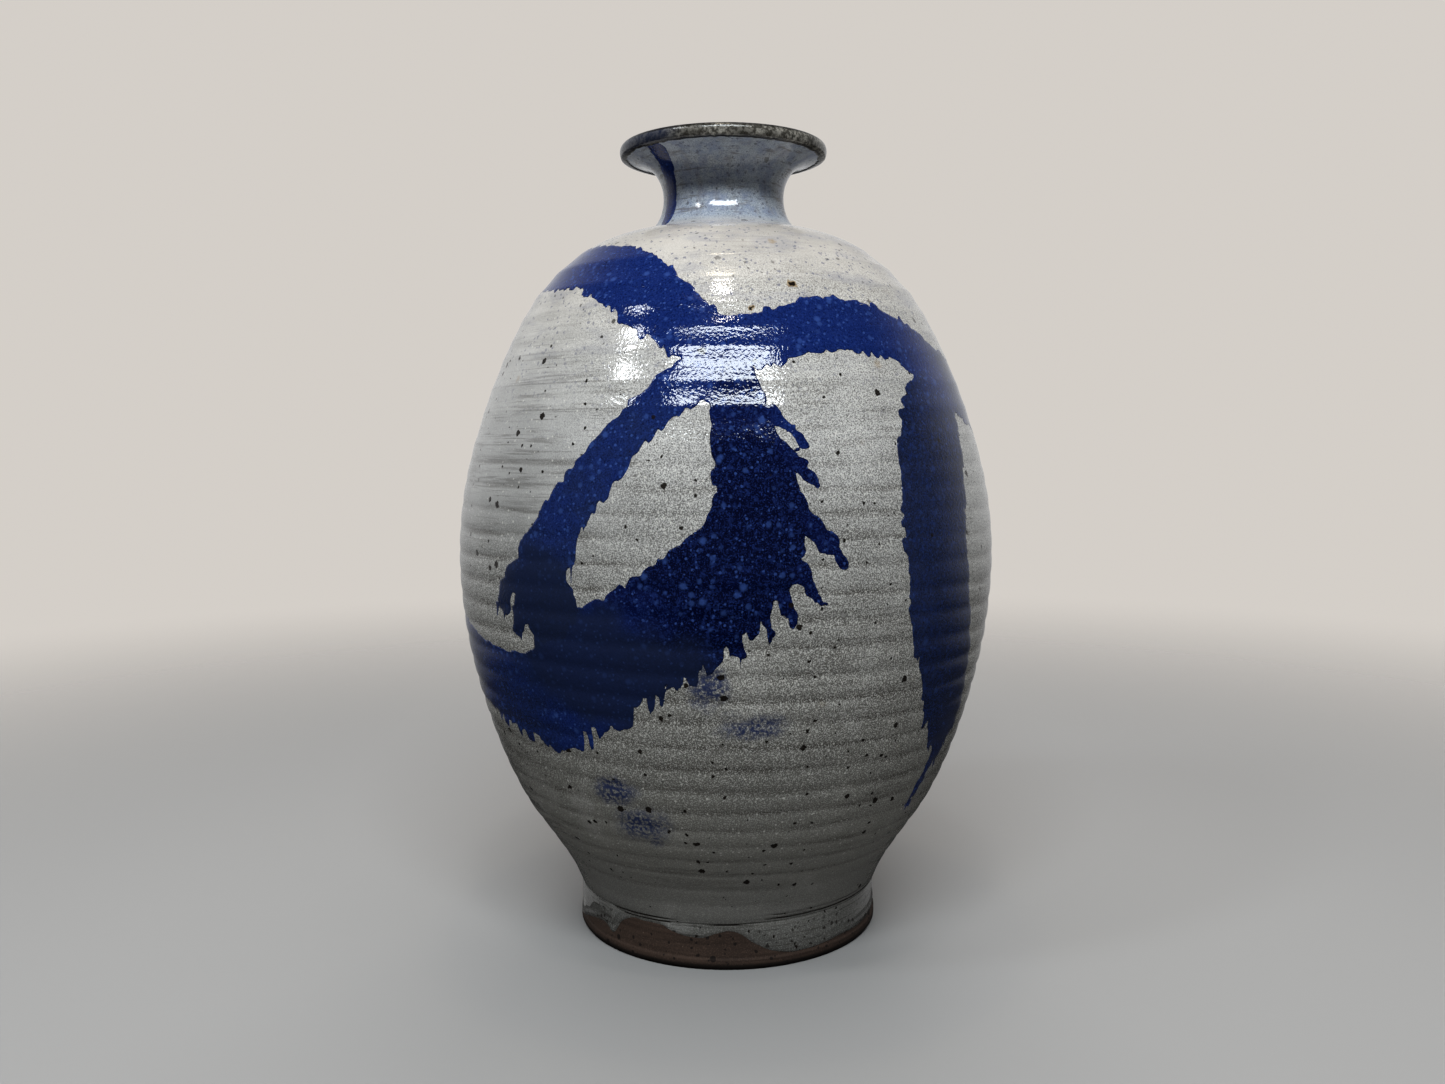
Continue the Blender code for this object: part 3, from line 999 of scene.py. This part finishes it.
def iron_marks(n, base, height, uneven):
    """Iron specks, small burnt ones at the foot and single large spots with a brown edge."""
    burnt = n.product(n.dots(330, 0.0012, 0.0004, uneven), n.ramp(height, 0.024, 0.015, 0.0, 0.8))
    specks = n.highest(n.dots(92, 0.0017, 0.0002, uneven), n.dots(175, 0.0009, 0.0002, uneven), burnt)
    specks = n.product(specks, n.ramp(height, 0.27, 0.31, 0.97, 0.5))
    spots = n.blots(IRON_SPOTS, n.ragged(0.0026, 420))
    base = n.tint(base, (0.26, 0.17, 0.06), spots, 0.1, 0.6, 0.75)
    return n.mix(n.highest(specks, n.ramp(spots, 0.65, 0.95)), base, IRON_SPECK)


def foot_marks(n, base, height, groove):
    """The incised lines filled with dark glaze, and dark brushed streaks on the glaze below them."""
    line = n.product(n.ramp(groove, 0.22, 0.55), n.ramp(height, 0.0285, 0.0265), 0.94)
    base = n.mix(line, base, IRON_SPECK)
    below = n.ramp(height, 0.0235, 0.0205)
    return n.tint(base, IRON_SPECK, n.noise(95, 3, 0.6, 0.35, 12), 0.54, 0.64, 0.5, below)


def stone_glaze():
    """Speckled grey glaze: pale crystals, dark streaks in the throwing grooves and iron specks, with
    painted shade towards the foot and along the shoulder's ridges.
    """
    n = Nodes(bpy.data.materials.new("stone_glaze"))
    place = n.axes()
    height = place["Z"]
    # The groove values carry the glaze gathered in the grooves and a painted shade line along each shoulder
    # ridge.
    groove = n.attribute("groove")
    # Painted shade: these colour stops darken the glaze towards the foot beyond its own change of tone, and
    # lift the neck's top as painted light under the lip.
    base = n.stops(height, 0.0, POT_HEIGHT, STONE_TONES_AND_SHADE)
    cloud = n.noise(30, 3)
    base = n.tint(base, n.mix(0.6, base, (0.16, 0.16, 0.155)), cloud, 0.4, 0.68, 0.35)
    base = n.tint(base, n.mix(0.4, base, (0.7, 0.7, 0.68)), cloud, 0.46, 0.3, 0.3)
    dark = dark_streaks(n, height, groove)
    base = n.mix(dark, base, n.mix(0.85, base, (0.07, 0.064, 0.056)))
    grain = n.noise(1900, 1.5, 0.6)
    base = sugary_grain(n, base, grain, place)
    base = neck_marks(n, base, height)
    uneven = n.ragged(0.0016, 700)
    base = shoulder_marks(n, base, height, uneven)
    smudges = n.blots(SMUDGES, n.ragged(0.012, 90))
    base = n.mix(n.product(smudges, n.ramp(n.noise(650), 0.36, 0.6, 0.2, 0.95)), base, PIGMENT)
    base = iron_marks(n, base, height, uneven)
    base = foot_marks(n, base, height, groove)
    rough = n.math("ADD", n.ramp(grain, 0.3, 0.7, 0.04, 0.1), n.product(dark, 0.08))
    glints = n.product(n.ramp(height, 0.285, 0.31), n.ramp(height, 0.345, 0.335, 0.05, 0.25))
    ripple = n.product(n.noise(760, 1), n.ramp(height, 0.286, 0.306, 0.95, 0.35),
                       n.ramp(height, 0.018, 0.06, 0.25, 1.0))
    return n.finish(base, rough, n.math("ADD", n.product(grain, glints), ripple), 0.00012)


def cobalt_glaze():
    """Glossy cobalt: navy where it is thick, slate blue where it is thin, with pale dots."""
    n = Nodes(bpy.data.materials.new("cobalt_glaze"))
    load = n.math("ADD", n.attribute("load"), n.line(n.noise(42, 3), 0.0, 1.0, -0.15, 0.15),
                  n.line(n.noise(170), 0.0, 1.0, -0.1, 0.1))
    color = n.stops(load, 0.0, 1.0, COBALT_TONES)
    grain = n.noise(1500)
    color = n.tint(color, (0.022, 0.052, 0.22), grain, 0.52, 0.68, 0.5)
    color = n.tint(color, (0.0015, 0.003, 0.02), grain, 0.48, 0.32, 0.6)
    color = n.tint(color, (0.018, 0.04, 0.17), n.noise(480, 3, 0.65), 0.5, 0.68, 0.45)
    washed = n.blots(WASHES, n.ragged(0.02, 60))
    color = n.tint(color, SLATE, washed, 0.0, 0.75, 0.85)
    uneven = n.ragged(0.0006, 900)
    dots = n.highest(n.product(n.dots(460, 0.00075, 0.0003, uneven), 0.6),
                     n.product(n.dots(130, 0.0022, 0.0014, uneven), 0.55),
                     n.product(n.dots(225, 0.0017, 0.001, uneven), 0.42))
    dots = n.product(dots, n.ramp(load, 0.22, 0.45, 0.35, 1.0), n.ramp(washed, 0.0, 0.6, 1.0, 0.3))
    color = n.mix(dots, color, (0.05, 0.105, 0.33))
    specks = n.highest(n.dots(75, 0.0013, 0.0003, uneven),
                       n.ramp(n.blots(IRON_SPOTS, n.ragged(0.002, 420)), 0.3, 0.7))
    color = n.mix(n.product(specks, 0.9), color, IRON_SPECK)
    rough = n.ramp(n.noise(60, 3), 0.35, 0.65, 0.04, 0.09)
    bump = n.math("ADD", n.product(grain, 0.1), n.product(n.noise(800, 1), 0.9))
    return n.finish(color, rough, bump, 0.00011)


def iron_band():
    """Mottled olive and brown-black iron glaze, darker along its lower border and on the lip's top."""
    n = Nodes(bpy.data.materials.new("iron_band"))
    place = n.axes()
    mottle = n.noise(520, 4, 0.7)
    color = n.mix(n.ramp(mottle, 0.42, 0.62), (0.064, 0.06, 0.052), (0.38, 0.365, 0.328))
    color = n.tint(color, (0.02, 0.017, 0.013), n.noise(90, 3), 0.42, 0.62, 0.55)
    color = n.tint(color, (0.17, 0.16, 0.135), n.noise(1500), 0.52, 0.7, 0.4)
    color = n.tint(color, (0.014, 0.023, 0.056), place["X"], -0.016, -0.03, 0.75)
    color = n.mix(n.product(n.attribute("border"), 0.92), color, (0.007, 0.006, 0.005))
    color = n.tint(color, (0.012, 0.011, 0.01), place["Z"], 0.3782, 0.379, 0.85)
    return n.finish(color, n.ramp(mottle, 0.3, 0.7, 0.1, 0.22), n.noise(620), 0.00012, 0.9)


def bare_clay():
    """Bare iron-bearing stoneware, matt and gritty, with the lines of trimming and a painted contact shadow
    along its bottom edge.
    """
    n = Nodes(bpy.data.materials.new("bare_clay"))
    lines = n.noise(30, 4, 0.6, 0.5, 14)
    color = n.mix(n.ramp(lines, 0.35, 0.65), (0.04, 0.027, 0.021), (0.064, 0.043, 0.033))
    color = n.tint(color, (0.038, 0.026, 0.021), n.noise(45, 3), 0.45, 0.65, 0.5)
    color = n.tint(color, (0.11, 0.072, 0.056), n.noise(1500), 0.5, 0.7, 0.45)
    uneven = n.ragged(0.001, 800)
    specks = n.highest(n.dots(160, 0.0017, 0.0004, uneven), n.dots(300, 0.001, 0.0003, uneven))
    color = n.mix(n.product(specks, 0.88), color, (0.012, 0.009, 0.008))
    color = n.mix(n.product(n.dots(310, 0.00035, 0.0002), 0.5), color, (0.25, 0.19, 0.15))
    # Painted contact shadow: the clay darkens to near black over the bottom few millimetres, where the foot
    # meets the floor.
    color = n.tint(color, (0.008, 0.006, 0.005), n.axes()["Z"], 0.0036, 0.002, 0.94)
    n.shader.inputs["Specular IOR Level"].default_value = 0.2
    return n.finish(color, n.ramp(lines, 0.3, 0.7, 0.62, 0.8), n.noise(900, 3, 0.7), 0.00018, 0.8)


# ==== Studio

CAMERA_PLACE = (0.0, -0.5924, 0.2404)
CAMERA_PITCH = math.radians(5.06)
CAMERA_AIM_LEFT = math.radians(0.149)
CAMERA_ROLL = math.radians(-0.36)
CAMERA_LENS = 29.65
SENSOR_WIDTH = 36.0
CAMERA_CLIP = 0.01


def camera():
    """The camera at the photographed angle: close, a little above the belly and tilted down."""
    data = bpy.data.cameras.new("camera")
    data.sensor_width = SENSOR_WIDTH
    data.lens = CAMERA_LENS
    data.clip_start = CAMERA_CLIP
    obj = bpy.data.objects.new("camera", data)
    aim = Euler((math.pi / 2 - CAMERA_PITCH, 0.0, CAMERA_AIM_LEFT)).to_matrix().to_4x4()
    obj.matrix_world = Matrix.Translation(CAMERA_PLACE) @ aim @ Matrix.Rotation(CAMERA_ROLL, 4, "Z")
    bpy.context.scene.collection.objects.link(obj)
    bpy.context.scene.camera = obj


def area_light(name, place, target, width, height, power, color, in_gloss=True):
    """A soft rectangular light aimed at a point.

    Without gloss, it lights the pot but isn't mirrored in it.
    """
    data = bpy.data.lights.new(name, "AREA")
    data.shape = "RECTANGLE"
    data.size = width
    data.size_y = height
    data.energy = power
    data.color = color
    obj = bpy.data.objects.new(name, data)
    obj.location = place
    obj.rotation_euler = (Vector(target) - Vector(place)).to_track_quat("-Z", "Y").to_euler()
    obj.visible_glossy = in_gloss
    bpy.context.scene.collection.objects.link(obj)


BACKDROP = (0.64, 0.608, 0.572)
FLOOR_COLOR = (0.34, 0.34, 0.34)
FLOOR_SIZE = 6.0
# The floor fades out between these distances from the pot
FLOOR_FADE = (0.35, 1.3)
WARM = (1.0, 0.945, 0.905)


def surround():
    """An even pale backdrop to look at, which lights the pot mostly from behind and the sides."""
    world = bpy.data.worlds.new("studio_world")
    bpy.context.scene.world = world
    n = Nodes(world, "Background")
    direction = n.axes(n.coordinates["Generated"])
    behind = n.ramp(direction["Y"], 0.0, 0.7, 0.035, 0.6)
    overhead = n.line(direction["Z"], 0.35, 0.85, 1.0, 0.2)
    glow = n.product(behind, overhead, n.line(direction["Z"], -0.34, 0.0, 0.05, 1.0))
    seen = n.add("LightPath").outputs["Is Camera Ray"]
    n.feed(n.shader.inputs["Color"], n.mix(seen, glow, BACKDROP))


def floor():
    """A pale floor that fades into the backdrop away from the pot."""
    bpy.ops.mesh.primitive_plane_add(size=FLOOR_SIZE)
    obj = bpy.context.object
    obj.name = "studio_floor"
    n = Nodes(bpy.data.materials.new("studio_floor"))
    n.shader.inputs["Roughness"].default_value = 0.6
    n.shader.inputs["Base Color"].default_value = (*FLOOR_COLOR, 1.0)
    away = n.ramp(n.vector("LENGTH", {0: n.where}, "Value"), *FLOOR_FADE)
    clear = n.add("BsdfTransparent").outputs[0]
    blend = n.add("MixShader", {0: away, 1: n.shader.outputs[0], 2: clear})
    n.feed(n.tree.nodes["Material Output"].inputs["Surface"], blend.outputs[0])
    obj.data.materials.append(n.owner)
    obj.visible_glossy = False


def studio():
    """A pale floor and surround, soft light from above, in front and the left, and a fill from behind."""
    floor()
    surround()
    middle = (0.0, 0.0, 0.2)
    area_light("ceiling", (0.0, 0.0, 1.65), middle, 2.0, 2.0, 13.0, WARM, in_gloss=False)
    area_light("ceiling_glow", (0.1, -0.1, 1.6), middle, 0.9, 0.6, 1.0, WARM)
    area_light("glint_top", (-0.03, 0.1, 1.68), (0.0, 0.0, 0.32), 0.14, 0.12, 0.9, (1.0, 0.88, 0.66))
    area_light("spot_top", (-0.02, -0.55, 1.5), (0.0, -0.09, 0.3), 0.12, 0.07, 1.3, WARM)
    area_light("front_fill", (0.0, -1.41, 1.78), (0.0, 0.0, 0.27), 1.45, 0.3, 10.0, WARM, in_gloss=False)
    area_light("front_top", (0.0, -1.35, 1.7), (0.0, 0.0, 0.27), 1.45, 0.3, 28.0, (0.89, 0.96, 1.0))
    area_light("left_top", (-1.22, -0.8, 1.7), (0.0, 0.0, 0.28), 0.24, 0.36, 5.6, (0.92, 0.965, 1.0))
    area_light("back_fill", (0.2, 1.5, 1.3), middle, 1.0, 0.6, 8.0, WARM, in_gloss=False)
    view = bpy.context.scene.view_settings
    view.view_transform = "Standard"
    view.exposure = 0.12
    view.gamma = 0.87


def build():
    """Makes the pot and the studio round it."""
    camera()
    glaze = stone_glaze()
    cobalt = cobalt_glaze()
    foot_clay(bare_clay(), glaze)
    lower_wall(glaze)
    middle_wall("upper_body_wall", BELLY_HEIGHT, CREASE_HEIGHT, glaze, "upper_body")
    middle_wall("neck_wall", CREASE_HEIGHT, COLLAR_TOP, glaze, "neck_collar", RIM_COLUMNS)
    mouth_wall(glaze)
    lip_band(iron_band())
    front = [SHOULDER_SWEEP, RIGHT_FALL, LEFT_FALL, DARK_SWEEP, *BRISTLES]
    front = [(stroke, 1.0) for stroke in front] + [(LOW_SWEEP, 0.4)]
    brushwork("front_brushwork", front, 0.068, 0.334, cobalt)
    brushwork("back_brushwork", [(BACK_FALL, 1.0), (BACK_SWEEP, 1.0)], 0.115, 0.33, cobalt)
    brushwork("neck_brushwork", [(NECK_STREAK, 0.3)], 0.337, 0.3738, cobalt)
    studio()


build()
